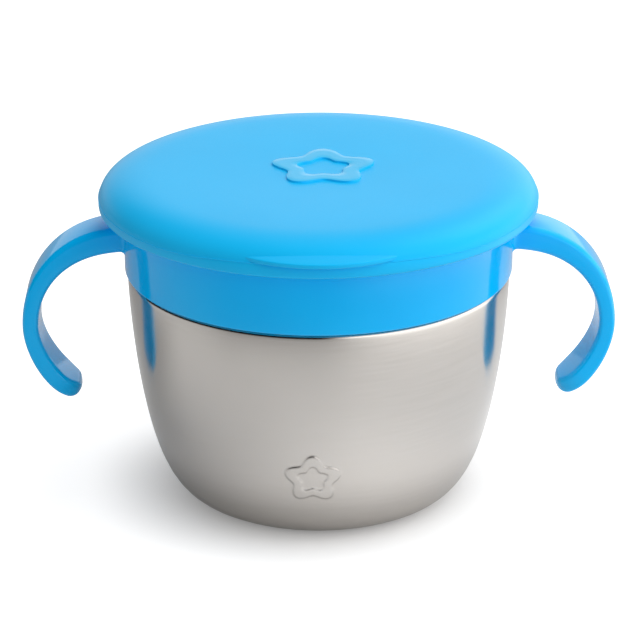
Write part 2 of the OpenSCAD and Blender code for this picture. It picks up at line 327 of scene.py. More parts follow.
def eased(tree, value, start, end, low=0.0, high=1.0):
    """A socket that goes from low to high, without corners, while a value goes from start to end."""
    return add(tree, "ShaderNodeMapRange", {
        "Value": value, "From Min": start, "From Max": end, "To Min": low, "To Max": high},
        interpolation_type="SMOOTHSTEP").outputs["Result"]


def reckon(tree, operation, *values):
    """The result of a Math node."""
    return add(tree, "ShaderNodeMath", dict(enumerate(values)), operation=operation).outputs[0]


def close(tree, shader):
    add(tree, "ShaderNodeOutputMaterial", {"Surface": shader.outputs[0]})


def brushed_stainless():
    """Drawn stainless steel, brushed round and round: reflections stay narrow sideways and
    smear up and down, and faint hair lines run round the bowl."""
    material, tree, place = started("brushed_stainless")
    parts = add(tree, "ShaderNodeSeparateXYZ", {"Vector": place})
    flat = add(tree, "ShaderNodeCombineXYZ", {"X": parts.outputs["X"], "Y": parts.outputs["Y"]})
    length = add(tree, "ShaderNodeVectorMath", {0: flat.outputs[0]}, operation="LENGTH")
    way = add(tree, "ShaderNodeVectorMath", {0: flat.outputs[0]}, operation="NORMALIZE")
    # Height and radius together count the hair lines on the side and under the foot alike
    rings = add(tree, "ShaderNodeMath", {0: parts.outputs["Z"], 1: length.outputs["Value"]}, operation="ADD")
    stacked = add(tree, "ShaderNodeCombineXYZ", {"Z": rings.outputs[0]})
    # Real hair lines lie 0.1 mm apart, drawn at 0.35 mm, and each is about 12 mm long
    line_gap = 0.35 * MM
    turn = add(tree, "ShaderNodeVectorMath", {0: way.outputs[0], "Scale": 3.4}, operation="SCALE")
    climb = add(tree, "ShaderNodeVectorMath", {0: stacked.outputs[0], "Scale": 1 / line_gap / 2}, operation="SCALE")
    drawn = add(tree, "ShaderNodeVectorMath", {0: turn.outputs[0], 1: climb.outputs[0]}, operation="ADD")
    hair = add(tree, "ShaderNodeTexNoise", {"Vector": drawn.outputs[0], "Scale": 1.0, "Detail": 3.0})
    # Broad patches where the pad pressed harder, about 25 mm across
    patch = add(tree, "ShaderNodeTexNoise", {"Vector": place, "Scale": 1 / (25 * MM), "Detail": 2.0})
    tint = between(tree, spread(tree, hair.outputs["Fac"], 0.2, 0.8), "#D0CBC5", "#D5D0CB")
    rough = spread(tree, hair.outputs["Fac"], 0.17, 0.2)
    rough = add(tree, "ShaderNodeMath", {0: rough, 1: spread(tree, patch.outputs["Fac"], -0.015, 0.02)},
                operation="ADD").outputs[0]
    bump = add(tree, "ShaderNodeBump", {"Height": hair.outputs["Fac"], "Strength": 0.04, "Distance": 0.02 * MM})
    shader = add(tree, "ShaderNodeBsdfPrincipled", {
        "Base Color": tint, "Metallic": 1.0, "Roughness": rough, "Normal": bump.outputs[0],
        "Anisotropic": 0.85, "Anisotropic Rotation": 0.25})
    close(tree, shader)
    return material


def moulded_polypropylene():
    """Polypropylene from a polished mould: deep azure with crisp, slightly wavy reflections."""
    material, tree, place = started("moulded_polypropylene")
    # Flow of the melt, about 18 mm across, barely shifts the blue
    flow = add(tree, "ShaderNodeTexNoise", {"Vector": place, "Scale": 1 / (18 * MM), "Detail": 2.0})
    # Shrinkage waves of the skin, about 2 mm across
    skin = add(tree, "ShaderNodeTexNoise", {"Vector": place, "Scale": 1 / (2 * MM), "Detail": 2.0})
    tint = between(tree, spread(tree, flow.outputs["Fac"], 0.0, 1.0), "#00B7FD", "#02BBFF")
    bump = add(tree, "ShaderNodeBump", {"Height": skin.outputs["Fac"], "Strength": 0.06, "Distance": 0.02 * MM})
    shader = add(tree, "ShaderNodeBsdfPrincipled", {
        "Base Color": tint, "Roughness": spread(tree, skin.outputs["Fac"], 0.07, 0.12),
        "IOR": 1.47, "Specular Tint": linear(COLLAR_SHEEN), "Normal": bump.outputs[0]})
    close(tree, shader)
    return material


def silky_polyethylene(name, low_rough, high_rough, low_tint="#00B9F6", high_tint="#03BCF9"):
    """Soft polyethylene from a finely blasted mould: an even sky blue with a broad silky sheen."""
    material, tree, place = started(name)
    flow = add(tree, "ShaderNodeTexNoise", {"Vector": place, "Scale": 1 / (22 * MM), "Detail": 2.0})
    # Blasted grain of 0.1 mm, drawn at 0.3 mm
    grain = add(tree, "ShaderNodeTexNoise", {"Vector": place, "Scale": 1 / (0.3 * MM), "Detail": 2.0})
    tint = between(tree, spread(tree, flow.outputs["Fac"], 0.0, 1.0), low_tint, high_tint)
    bump = add(tree, "ShaderNodeBump", {"Height": grain.outputs["Fac"], "Strength": 0.08, "Distance": 0.015 * MM})
    shader = add(tree, "ShaderNodeBsdfPrincipled", {
        "Base Color": tint, "Roughness": spread(tree, grain.outputs["Fac"], low_rough, high_rough),
        "IOR": 1.47, "Specular Tint": linear(LID_SHEEN), "Normal": bump.outputs[0]})
    close(tree, shader)
    return material


def soft_elastomer():
    """Thermoplastic elastomer: matte, a little cloudy, with a velvety edge."""
    material, tree, place = started("soft_elastomer")
    cloud = add(tree, "ShaderNodeTexNoise", {"Vector": place, "Scale": 1 / (9 * MM), "Detail": 3.0})
    grain = add(tree, "ShaderNodeTexNoise", {"Vector": place, "Scale": 1 / (0.35 * MM), "Detail": 2.0})
    tint = between(tree, spread(tree, cloud.outputs["Fac"], 0.0, 1.0), "#17ABE9", "#25B4EE")
    bump = add(tree, "ShaderNodeBump", {"Height": grain.outputs["Fac"], "Strength": 0.15, "Distance": 0.02 * MM})
    shader = add(tree, "ShaderNodeBsdfPrincipled", {
        "Base Color": tint, "Roughness": spread(tree, grain.outputs["Fac"], 0.5, 0.62), "IOR": 1.5,
        "Normal": bump.outputs[0], "Sheen Weight": 0.12, "Sheen Roughness": 0.4})
    close(tree, shader)
    return material


def milky_silicone():
    """Translucent silicone: milky white, with light that sinks in and a soft gloss."""
    material, tree, place = started("milky_silicone")
    cloud = add(tree, "ShaderNodeTexNoise", {"Vector": place, "Scale": 1 / (6 * MM), "Detail": 3.0})
    tint = between(tree, spread(tree, cloud.outputs["Fac"], 0.0, 1.0), "#E3E8EA", "#EDF0F1")
    shader = add(tree, "ShaderNodeBsdfPrincipled", {
        "Base Color": tint, "Roughness": spread(tree, cloud.outputs["Fac"], 0.38, 0.48), "IOR": 1.41,
        "Subsurface Weight": 0.4, "Subsurface Radius": (1.0, 1.0, 1.0), "Subsurface Scale": 0.8 * MM})
    close(tree, shader)
    return material


def star_radius(angle, size, depth):
    """Radius of a soft star at an angle from one of its points."""
    return size * (1 + depth * math.cos(STAR_POINTS * angle))


def thread_ridge(turn, height, start_z, turns):
    """How much of the full ridge stands at a turn round the axis and a height."""
    full = 2 * math.pi * turns
    ridge = 0.0
    for lap in range(math.ceil(turns)):
        run = turn % (2 * math.pi) + 2 * math.pi * lap
        off = abs(height - start_z - PITCH * run / (2 * math.pi)) / THREAD_HALF_W
        fade = smooth(run / THREAD_FADE) * smooth((full - run) / THREAD_FADE)
        ridge = max(ridge, smooth(1.25 * (1 - off)) * fade)
    return ridge


def bowl_outline():
    """Outer face from the middle of the foot up to the lip."""
    recess = [(RECESS_R * i / 5, RECESS_D) for i in range(5)]
    step = [(RECESS_R + RECESS_STEP * i / 8, RECESS_D * (1 + math.cos(math.pi * i / 8)) / 2) for i in range(9)]
    # Angles along the side, closer together where the star is embossed
    star_low, star_high = math.radians(30), math.radians(53.5)
    turns = ([star_low * (i / 9) ** 1.5 for i in range(1, 10)]
             + [star_low + (star_high - star_low) * i / 66 for i in range(1, 67)]
             + [star_high + (math.pi / 2 - star_high) * i / 15 for i in range(1, 16)])
    side = [(FOOT_R, 0.0)] + [
        (FOOT_R + (BOWL_R - FOOT_R) * math.sin(a) ** (2 / SIDE_FULLNESS),
         SIDE_H * (1 - max(0.0, math.cos(a)) ** (2 / SIDE_UPRIGHT))) for a in turns]
    shoulder = arc((BOWL_R - SHOULDER_ROUND, SHOULDER_Z - SHOULDER_ROUND), SHOULDER_ROUND, 0, 90, 7)
    corner = arc((NECK_R + NECK_ROUND, SHOULDER_Z + NECK_ROUND), NECK_ROUND, 270, 180, 6)
    lip_start = LIP_Z - LIP_ROUND - LIP_ROUND * math.sin(lip_angle())
    return recess + step + side + shoulder + corner + line(corner[-1], (NECK_R, lip_start), 0.34)[:-1]


def lip_angle():
    """How far down the lip's curl the steel of the neck joins it."""
    return math.acos(STEEL_T / 2 / LIP_ROUND)


def steel_bowl(steel):
    outer = bowl_outline()
    inner = beside(outer, STEEL_T)[::-1]
    inner[-1] = (0.0, inner[-1][1])
    join = math.degrees(lip_angle())
    curl = arc((NECK_R - STEEL_T / 2, LIP_Z - LIP_ROUND), LIP_ROUND, -join, 180 + join, 18)
    star_width = 22.0
    bm = spun(outer + curl + inner, [(star_width, 74), (360 - star_width, 136)])
    turn = BOWL_STAR_TURN - math.radians(star_width) / 2
    bmesh.ops.rotate(bm, verts=bm.verts, cent=(0, 0, 0), matrix=Matrix.Rotation(turn, 3, "Z"))
    bm.normal_update()
    for v in bm.verts:
        way = Vector((v.co.x, v.co.y, 0))
        radius = way.length
        if radius < FOOT_R:
            continue
        way.normalize()
        angle = math.atan2(v.co.y, v.co.x)
        if v.co.z > SHOULDER_Z:
            v.co += way * NECK_THREAD_H * thread_ridge(
                angle, v.co.z, NECK_THREAD_Z, NECK_THREAD_TURNS)
            continue
        across = radius * ((angle - BOWL_STAR_TURN + math.pi) % (2 * math.pi) - math.pi)
        up = (v.co.z - BOWL_STAR_Z) / BOWL_STAR_LEAN
        edge = star_radius(math.atan2(across, up), BOWL_STAR_R, STAR_DEPTH)
        from_middle = math.hypot(across, up)
        raised = smooth((edge - from_middle) / BOWL_STAR_SLOPE + 0.5) * smooth(
            (from_middle - BOWL_STAR_HOLE * edge) / BOWL_STAR_SLOPE + 0.5)
        outwards = 1 if v.normal.dot(way) > 0 else -1
        v.co += v.normal * outwards * BOWL_STAR_H * raised
    made = piece(bm, "steel_bowl", "bowl", "steel", steel)
    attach(made, "bowl")


def curve_point(points, t):
    """Point on a curve with four control points."""
    a, b, c, d = points
    return (1 - t) ** 3 * a + 3 * (1 - t) ** 2 * t * b + 3 * (1 - t) * t * t * c + t ** 3 * d


def handle_line():
    """Middle line of the right handle as points 0.2 mm apart or less, in the XZ plane."""
    arm = [Vector(p) for p in ((ROOT_X, ROOT_Z), (ROOT_X + 14.2, ROOT_Z), (OUT_X, OUT_Z + 12.2), (OUT_X, OUT_Z))]
    hook = [Vector(p) for p in ((OUT_X, OUT_Z), (OUT_X, OUT_Z - 6.6), (TIP_X + 5.6, TIP_Z + 1.8), (TIP_X, TIP_Z))]
    steps = 200
    points = [curve_point(arm, i / steps) for i in range(steps)]
    return points + [curve_point(hook, i / steps) for i in range(steps + 1)]


class Path:
    """A line of points that can be asked for its place and direction at a length along it."""

    def __init__(self, points):
        self.points = points
        self.lengths = [0.0]
        for a, b in zip(points, points[1:]):
            self.lengths.append(self.lengths[-1] + (b - a).length)
        self.total = self.lengths[-1]

    def at(self, s):
        i = max(1, next((k for k, total in enumerate(self.lengths) if total >= s), len(self.points) - 1))
        share = (s - self.lengths[i - 1]) / (self.lengths[i] - self.lengths[i - 1])
        return self.points[i - 1].lerp(self.points[i], min(1.0, max(0.0, share)))

    def way(self, s):
        reach = 0.5
        return (self.at(min(s + reach, self.total)) - self.at(max(s - reach, 0))).normalized()


def round_end(left, length):
    """Share of the full section that is left near a rounded end."""
    return 1.0 if left >= length else math.sqrt(max(0.0, 1 - (1 - left / length) ** 2))


def handle_shape():
    """The right handle: a rounded rectangle drawn along its line, flared at the root."""
    path = Path(handle_line())
    out_s = path.lengths[200]
    face_s = COLLAR_R - ROOT_X

    def half_sizes(s):
        if s < out_s:
            thick = ROOT_T + (OUT_T - ROOT_T) * (1 - math.cos(math.pi * s / out_s)) / 2
        else:
            pad = min(1.0, (s - out_s) / (path.total - out_s - NOSE_L))
            thick = OUT_T + (PAD_T - OUT_T) * (1 - math.cos(math.pi * pad)) / 2
        off = max(0.0, s - face_s)
        flare = 0.0 if off >= ROOT_FILLET else ROOT_FILLET - math.sqrt(
            ROOT_FILLET ** 2 - (ROOT_FILLET - off) ** 2)
        left = path.total - s
        return (thick / 2 * round_end(left, thick / 2) + flare,
                HANDLE_W / 2 * round_end(left, NOSE_L) + flare)

    def place(s):
        half_t, half_w = half_sizes(s)
        at, way = path.at(s), path.way(s)
        return Matrix((
            (-way.y * half_t, 0, way.x, at.x),
            (0, half_w, 0, 0),
            (way.x * half_t, 0, way.y, at.y),
            (0, 0, 0, 1)))

    fillet = [face_s + ROOT_FILLET * (i / 7) ** 1.6 for i in range(8)]
    body_start, body_end = face_s + ROOT_FILLET, path.total - NOSE_L
    body = [body_start + (body_end - body_start) * i / 70 for i in range(1, 71)]
    nose = [path.total - NOSE_L * (1 - math.sin(math.radians(90 * i / 12.25))) for i in range(1, 13)]
    stations = [0.25] + fillet + body + nose + [path.total - 0.01]

    bm = bmesh.new()
    half_t, half_w = ROOT_T / 2, HANDLE_W / 2
    corners = [(half_t - HANDLE_ROUND, half_w - HANDLE_ROUND, 0), (HANDLE_ROUND - half_t, half_w - HANDLE_ROUND, 90),
               (HANDLE_ROUND - half_t, HANDLE_ROUND - half_w, 180), (half_t - HANDLE_ROUND, HANDLE_ROUND - half_w, 270)]
    ring = []
    for u, v, start in corners:
        ring += [bm.verts.new((x / half_t, y / half_w, 0)) for x, y in arc((u, v), HANDLE_ROUND, start, start + 90, 7)]
    edges = [bm.edges.new((ring[i - 1], ring[i])) for i in range(len(ring))]
    bm.faces.new(ring)
    last = place(stations[0])
    bmesh.ops.transform(bm, matrix=last, verts=ring)
    for s in stations[1:]:
        grown = bmesh.ops.extrude_edge_only(bm, edges=edges)["geom"]
        ring = [g for g in grown if isinstance(g, bmesh.types.BMVert)]
        edges = [g for g in grown if isinstance(g, bmesh.types.BMEdge)]
        following = place(s)
        bmesh.ops.transform(bm, matrix=following @ last.inverted(), verts=ring)
        last = following
    bmesh.ops.edgeloop_fill(bm, edges=edges)
    # The root follows the collar's round face
    for v in bm.verts:
        sink = COLLAR_R - math.sqrt(COLLAR_R ** 2 - v.co.y ** 2)
        v.co.x -= sink * smooth(1 - (v.co.x - COLLAR_R) / ROOT_BLEND)
    bmesh.ops.recalc_face_normals(bm, faces=bm.faces)
    return bm


def collar_ring():
    """The collar with its flange, rim, bead and inner thread."""
    top_round = COLLAR_ROUND / 2
    bead_z = FLANGE_TOP + BEAD_H
    bead = arc((COLLAR_R + BEAD_OUT - BEAD_ROUND, bead_z), BEAD_ROUND, -48, 48, 8)
    outline = (
        arc((COLLAR_IN_R + top_round, COLLAR_Z + top_round), top_round, 180, 270, 4)
        + arc((COLLAR_R - COLLAR_ROUND, COLLAR_Z + COLLAR_ROUND), COLLAR_ROUND, 270, 360, 7)
        + bead
        + arc((COLLAR_R - COLLAR_ROUND, RIM_Z - COLLAR_ROUND), COLLAR_ROUND, 0, 90, 7)
        + arc((COLLAR_IN_R + top_round, RIM_Z - top_round), top_round, 90, 180, 5)
        + arc((COLLAR_IN_R - COLLAR_ROUND, FLANGE_TOP + COLLAR_ROUND), COLLAR_ROUND, 0, -90, 6)
        + arc((MOUTH_R + top_round, FLANGE_TOP - top_round), top_round, 90, 180, 4)
        + arc((MOUTH_R + top_round, FLANGE_Z + top_round), top_round, 180, 270, 4)
        + arc((COLLAR_IN_R - top_round, FLANGE_Z - top_round), top_round, 90, 0, 4))
    outline += line(outline[-1], outline[0], 0.36)[:-1]
    bm = spun(outline, [(360, 192)], closed=True)
    # The partner ridge lies half a pitch above the neck's
    for v in bm.verts:
        radius = math.hypot(v.co.x, v.co.y)
        if radius < COLLAR_IN_R + 0.1 and v.co.z < FLANGE_Z - 1:
            depth = COLLAR_THREAD_H * thread_ridge(
                math.atan2(v.co.y, v.co.x), v.co.z, NECK_THREAD_Z + PITCH / 2, COLLAR_THREAD_TURNS)
            v.co.x -= v.co.x / radius * depth
            v.co.y -= v.co.y / radius * depth
    return bm


def collar_moulding(plastic):
    left = handle_shape()
    bmesh.ops.rotate(left, verts=left.verts, cent=(0, 0, 0), matrix=Matrix.Rotation(math.pi, 3, "Z"))
    made = piece(joined(collar_ring(), handle_shape(), left), "collar_moulding", "collar", "collar", plastic)
    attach(made, "collar")


def silicone_seal(silicone):
    """A flat ring with rounded edges and two small sealing ribs on its underside."""
    edge = 0.35
    low, high = SEAL_LOW.z, SEAL_HIGH.z
    inner_r = SEAL_OUT_R - SEAL_W
    rib_r, rib_round = SEAL_OUT_R - SEAL_W / 2, 0.3
    base = low + rib_round
    outline = arc((inner_r + edge, base + edge), edge, 180, 270, 4)
    for rib in (-0.6, 0.6):
        outline += arc((rib_r + rib, base), rib_round, 180, 360, 6)
    outline += (
        arc((SEAL_OUT_R - edge, base + edge), edge, 270, 360, 4)
        + arc((SEAL_OUT_R - edge, high - edge), edge, 0, 90, 4)
        + arc((inner_r + edge, high - edge), edge, 90, 180, 4))
    made = piece(spun(outline, [(360, 144)], closed=True), "silicone_seal", "seal_ring", "seal", silicone)
    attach(made, "seal")


def insert_rim(elastomer):
    """The grooved ring that grips the flange, with a bead where the thin membrane starts."""
    edge, bead_r, bead_round = 0.4, 32.6, 0.8
    mid_z = FLAP_Z + FLAP_T / 2
    outline = (
        arc((INSERT_IN_R + edge, INSERT_Z + edge), edge, 180, 270, 4)
        + arc((GRIP_R - edge, INSERT_Z + edge), edge, 270, 360, 4)
        + arc((GRIP_R - 0.2, INSERT_Z + GRIP_T - 0.2), 0.2, 0, 90, 3)
        + arc((GROOVE_R + 0.2, INSERT_Z + GRIP_T + 0.2), 0.2, 270, 180, 3)
        + arc((GROOVE_R + 0.2, INSERT_TOP - GRIP_T - 0.2), 0.2, 180, 90, 3)
        + arc((GRIP_R - 0.2, INSERT_TOP - GRIP_T + 0.2), 0.2, 270, 360, 3)
        + arc((GRIP_R - edge, INSERT_TOP - edge), edge, 0, 90, 4)
        + arc((INSERT_IN_R + edge, INSERT_TOP - edge), edge, 90, 180, 4)
        + arc((bead_r, mid_z), bead_round, 35, 325, 16))
    made = piece(spun(outline, [(360, 180)], closed=True), "insert_rim", "flap_rim", "insert", elastomer)
    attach(made, "insert")


def flap_shape(angle):
    """A quarter of the slit membrane, with a thin web along its fold line."""
    rows, columns = 58, 44
    outer_r = SLIT_R + SLIT_END_R + 0.5
    bm = bmesh.new()
    bmesh.ops.create_grid(bm, x_segments=rows, y_segments=columns, size=0.5)

    def placed(u, v):
        # Rows are closer together at the slits' end holes
        r = MIDDLE_R + (outer_r - MIDDLE_R) * math.sin(math.pi / 2 * u)
        hole = math.sqrt(max(0.0, SLIT_END_R ** 2 - (r - SLIT_R) ** 2))
        gap = 0.0 if r > SLIT_R + SLIT_END_R else max(SLIT_W / 2, hole)
        turn = 2 * v * (math.radians(45) - math.asin(gap / r))
        return Vector((r * math.cos(turn), r * math.sin(turn), 0))

    for v in bm.verts:
        v.co = placed(v.co.x + 0.5, v.co.y)
    under = bmesh.ops.extrude_face_region(bm, geom=bm.faces[:])["geom"]
    under = {g for g in under if isinstance(g, bmesh.types.BMVert)}
    for v in bm.verts:
        to_fold = FOLD_X - v.co.x
        fold = math.exp(-(to_fold / 0.9) ** 2)
        # Each flap is a little domed between its fold and its slits
        inside = smooth(to_fold / 8) * smooth((v.co.x - abs(v.co.y)) / 5)
        if v in under:
            v.co.z = FLAP_Z + (FLAP_T - WEB_T - 0.12) * fold + 0.3 * inside
        else:
            v.co.z = FLAP_TOP - 0.12 * math.exp(-(to_fold / 0.5) ** 2) + 0.35 * inside
    bmesh.ops.rotate(bm, verts=bm.verts, cent=(0, 0, 0), matrix=Matrix.Rotation(math.radians(angle), 3, "Z"))
    bmesh.ops.recalc_face_normals(bm, faces=bm.faces)
    return bm


def soft_flaps(elastomer):
    for side, angle in (("front", -90), ("right", 0), ("back", 90), ("left", 180)):
        made = piece(flap_shape(angle), f"{side}_flap", f"flap_{side}", "insert", elastomer)
        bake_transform(made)


def lid_top_z(radius):
    """Height of the dished part of the lid's top."""
    return LID_TOP - LID_DISH * (1 + math.cos(math.pi * min(1.0, radius / LID_FLAT_R))) / 2


def lid_edge_r(z):
    """Radius of the lid's rounded edge at a height."""
    a = math.asin(min(1.0, (z - WIDE_Z) / LID_CROWN) ** (LID_SQUARENESS / 2))
    return LID_FLAT_R + LID_EDGE_W * math.cos(a) ** (2 / LID_SQUARENESS)


def lid_shell():
    """The lid's turned body: dished top, rounded edge, skirt, snap ridge and plug."""
    top = [(LID_FLAT_R * i / 16, lid_top_z(LID_FLAT_R * i / 16)) for i in range(17)]
    edge = [(LID_FLAT_R + LID_EDGE_W * math.cos(a) ** (2 / LID_SQUARENESS),
             WIDE_Z + LID_CROWN * math.sin(a) ** (2 / LID_SQUARENESS))
            for a in (math.radians(90 - 90 * i / 48) for i in range(1, 48))]
    foot = 0.3
    under = [(LID_LAND_R - foot + (LID_R - LID_LAND_R + foot) * math.cos(a),
              WIDE_Z - (LID_UNDER - foot) * math.sin(a))
             for a in (math.radians(90 * i / 12) for i in range(12))]
    skirt = (
        arc((LID_LAND_R - foot, LID_Z + foot), foot, -20, -90, 4)
        + arc((LID_IN_R + foot, LID_Z + foot), foot, 270, 180, 4)
        + arc((LID_IN_R + 0.25, LID_Z + 1.1), 0.6, 215, 145, 6)
        + arc((LID_IN_R - 0.5, CEILING_Z - 0.5), 0.5, 0, 90, 4))
    plug_low = CEILING_Z - PLUG_H
    plug = (
        arc((PLUG_R + 0.3, CEILING_Z - 0.3), 0.3, 90, 180, 3)
        + arc((PLUG_R - 0.4, plug_low + 0.4), 0.4, 0, -90, 4)
        + arc((PLUG_R - PLUG_T + 0.4, plug_low + 0.4), 0.4, 270, 180, 4)
        + arc((PLUG_R - PLUG_T - 0.5, CEILING_Z - 0.5), 0.5, 0, 90, 4))
    ceiling = [(r, CEILING_Z) for r in (30, 20, 10, 0)]
    return spun(top + edge + under + skirt + plug + ceiling, [(360, 216)])


def parting_line():
    """A hair-thin ridge round the lid's edge."""
    bm = spun(arc((LID_R, SEAM_Z), SEAM_R, 0, 324, 9), [(360, 300)], closed=True)
    for v in bm.verts:
        from_front = abs(math.atan2(v.co.x, -v.co.y))
        rise = SEAM_RISE * smooth(1.6 - 2.0 * from_front)
        radius = math.hypot(v.co.x, v.co.y)
        share = (radius - LID_R + lid_edge_r(SEAM_Z + rise)) / radius
        v.co = Vector((v.co.x * share, v.co.y * share, v.co.z + rise))
    return bm


def finger_tab():
    """The crescent ledge at the front, turned about its own centre."""
    half = TAB_W / 2
    end_r = lid_edge_r(TAB_Z + TAB_H)
    end_y = math.sqrt(end_r ** 2 - half ** 2)
    front_y = LID_R + TAB_OUT
    centre_y = (front_y ** 2 - end_r ** 2) / (2 * (front_y - end_y))
    tab_r = front_y - centre_y
    sweep = math.degrees(math.asin(half / tab_r)) + 1
    reach = front_y - lid_edge_r(TAB_Z) + TAB_ROOT
    edge = 0.25
    slope = [(tab_r - reach * i / 10, TAB_Z + TAB_H + reach * i / 10 * TAB_SLOPE) for i in range(2, 11)]
    outline = (
        [(tab_r - reach, TAB_Z)]
        + arc((tab_r - edge, TAB_Z + edge), edge, 270, 360, 5)
        + arc((tab_r - edge, TAB_Z + TAB_H - edge), edge, 0, 76, 5)
        + slope)
    bm = spun(outline, [(2 * sweep, 60)], closed=True)
    for end in (0, math.radians(2 * sweep)):
        rim = [e for e in bm.edges if e.is_boundary
               and all(abs(math.atan2(v.co.y, v.co.x) - end) < 1e-3 for v in e.verts)]
        bmesh.ops.edgeloop_fill(bm, edges=rim)
    bmesh.ops.rotate(bm, verts=bm.verts, cent=(0, 0, 0), matrix=Matrix.Rotation(math.radians(-90 - sweep), 3, "Z"))
    bmesh.ops.translate(bm, verts=bm.verts, vec=(0, -centre_y, 0))
    bmesh.ops.recalc_face_normals(bm, faces=bm.faces)
    return bm


def lid_star():
    """A flat star ring that stands on the lid, drawn outwards ring by ring. Its face is polished, and its paler blue is
    a painted sheen that stands in for its brighter reflection.
    """
    steps = 200
    # Each ring is a share between the hole's edge and the outer edge, an offset and a height
    h = LID_STAR_H
    rings = [(0, -0.2, -0.2), (0, -0.08, 0.03), (0, -0.02, 0.75 * h), (0, 0.03, 0.95 * h),
             (0, 0.1, h), (0.33, 0, h), (0.67, 0, h), (1, -0.1, h),
             (1, -0.03, 0.95 * h), (1, 0.02, 0.75 * h), (1, 0.08, 0.03), (1, 0.2, -0.2)]
    # Rings with the polished face, which also carries the paler blue of a painted sheen
    polished = range(5, 8)

    def placed(angle, share, offset, height):
        hole = star_radius(angle, LID_STAR_HOLE_R, LID_STAR_HOLE_DEPTH)
        rim = star_radius(angle, LID_STAR_R, STAR_DEPTH)
        r = hole + (rim - hole) * share + offset
        x, y = LID_STAR_X + r * math.sin(angle), LID_STAR_Y + r * math.cos(angle)
        return Vector((x, y, lid_top_z(math.hypot(x, y)) + height))

    bm = bmesh.new()
    loop = [bm.verts.new(placed(2 * math.pi * i / steps, *rings[0])) for i in range(steps)]
    edges = [bm.edges.new((loop[i - 1], loop[i])) for i in range(steps)]
    for i, ring in enumerate(rings[1:], 1):
        grown = bmesh.ops.extrude_edge_only(bm, edges=edges)["geom"]
        edges = [g for g in grown if isinstance(g, bmesh.types.BMEdge)]
        for v in (g for g in grown if isinstance(g, bmesh.types.BMVert)):
            v.co = placed(math.atan2(v.co.x - LID_STAR_X, v.co.y - LID_STAR_Y), *ring)
        for face in (g for g in grown if isinstance(g, bmesh.types.BMFace)):
            face.material_index = 1 if i in polished else 0
    bmesh.ops.recalc_face_normals(bm, faces=bm.faces)
    if max(bm.faces, key=lambda f: f.calc_center_median().z).normal.z < 0:
        bmesh.ops.reverse_faces(bm, faces=bm.faces)
    return bm


def soft_lid(silky, polished):
    made = piece(joined(lid_shell(), parting_line(), finger_tab(), lid_star()), "soft_lid", "lid", "lid", silky, polished)
    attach(made, "lid")


def camera():
    level = math.cos(CAMERA_ELEVATION)
    back = Vector((-level * math.sin(CAMERA_TURN), -level * math.cos(CAMERA_TURN), math.sin(CAMERA_ELEVATION)))
    data = bpy.data.cameras.new("photo_camera")
    data.lens = CAMERA_LENS
    data.sensor_width = CAMERA_SENSOR
    data.shift_x = CAMERA_SHIFT_X
    data.shift_y = CAMERA_SHIFT_Y
    made = bpy.data.objects.new("photo_camera", data)
    made.matrix_world = (
        Matrix.Translation(CAMERA_TARGET + back * CAMERA_DISTANCE)
        @ (-back).to_track_quat("-Z", "Y").to_matrix().to_4x4()
        @ Matrix.Rotation(CAMERA_ROLL, 4, "Z"))
    bpy.context.scene.collection.objects.link(made)
    bpy.context.scene.camera = made


def softbox(name, place, aim, width, height, radiance):
    """A rectangular light that shades but isn't mirrored: the world and the floor stand for it there."""
    data = bpy.data.lights.new(name, "AREA")
    data.shape = "RECTANGLE"
    data.size, data.size_y = width, height
    data.energy = radiance * 4 * width * height
    made = bpy.data.objects.new(name, data)
    made.location = place
    made.rotation_euler = (Vector(aim) - Vector(place)).to_track_quat("-Z", "Y").to_euler()
    made.visible_glossy = False
    bpy.context.scene.collection.objects.link(made)


def studio_world():
    """White for the camera and an even dim room for matt surfaces. Mirrored, it is the tall softbox
    on the right, a lit backdrop behind the object, and darkness overhead and on the left."""
    world = bpy.data.worlds.new("studio")
    world.use_nodes = True
    world.cycles.sampling_method = "NONE"
    tree = world.node_tree
    tree.nodes.clear()
    rays = add(tree, "ShaderNodeLightPath")
    way = add(tree, "ShaderNodeSeparateXYZ", {"Vector": add(tree, "ShaderNodeTexCoord").outputs["Generated"]})
    across, deep, up = (way.outputs[name] for name in "XYZ")
    # The softbox is brightest in front, just above the table's edge, and high up behind
    low_band = reckon(tree, "MULTIPLY", eased(tree, up, -0.02, 0.2, 0.0, 1.3), eased(tree, up, 0.3, 0.5, 1.0, 0.0))
    in_front = reckon(tree, "MULTIPLY", low_band, eased(tree, deep, 0.2, 0.7, 1.0, 0.0))
    high_up = reckon(tree, "MULTIPLY", eased(tree, up, 0.3, 0.7, 0.0, 0.8), eased(tree, deep, -0.1, 0.4))
    box_light = reckon(tree, "MULTIPLY", eased(tree, across, 0.0, 0.42), reckon(
        tree, "ADD", reckon(tree, "MAXIMUM", in_front, high_up), 1.0))
    # The backdrop reaches further to the left low down
    side = reckon(tree, "ADD", across, eased(tree, up, 0.2, 0.45, 0.5, 0.0))
    wall = reckon(tree, "MULTIPLY", eased(tree, across, -0.5, 0.1, 0.5, 0.8), eased(tree, up, 0.18, 0.42, 1.55, 0.68))
    backdrop = reckon(tree, "MULTIPLY", eased(tree, side, -0.38, -0.02), reckon(
        tree, "MULTIPLY", eased(tree, deep, 0.15, 0.6), wall))
    mirrored = reckon(tree, "MAXIMUM", box_light, backdrop)
    lit = add(tree, "ShaderNodeMix", {
        "Factor": rays.outputs["Is Glossy Ray"], 2: ROOM_LIGHT, 3: mirrored}, data_type="FLOAT")
    seen = add(tree, "ShaderNodeMix", {
        "Factor": rays.outputs["Is Camera Ray"], 2: lit.outputs[0], 3: 1.0}, data_type="FLOAT")
    shader = add(tree, "ShaderNodeBackground", {"Color": (1, 1, 1, 1), "Strength": seen.outputs[0]})
    add(tree, "ShaderNodeOutputWorld", {"Surface": shader.outputs[0]})
    bpy.context.scene.world = world


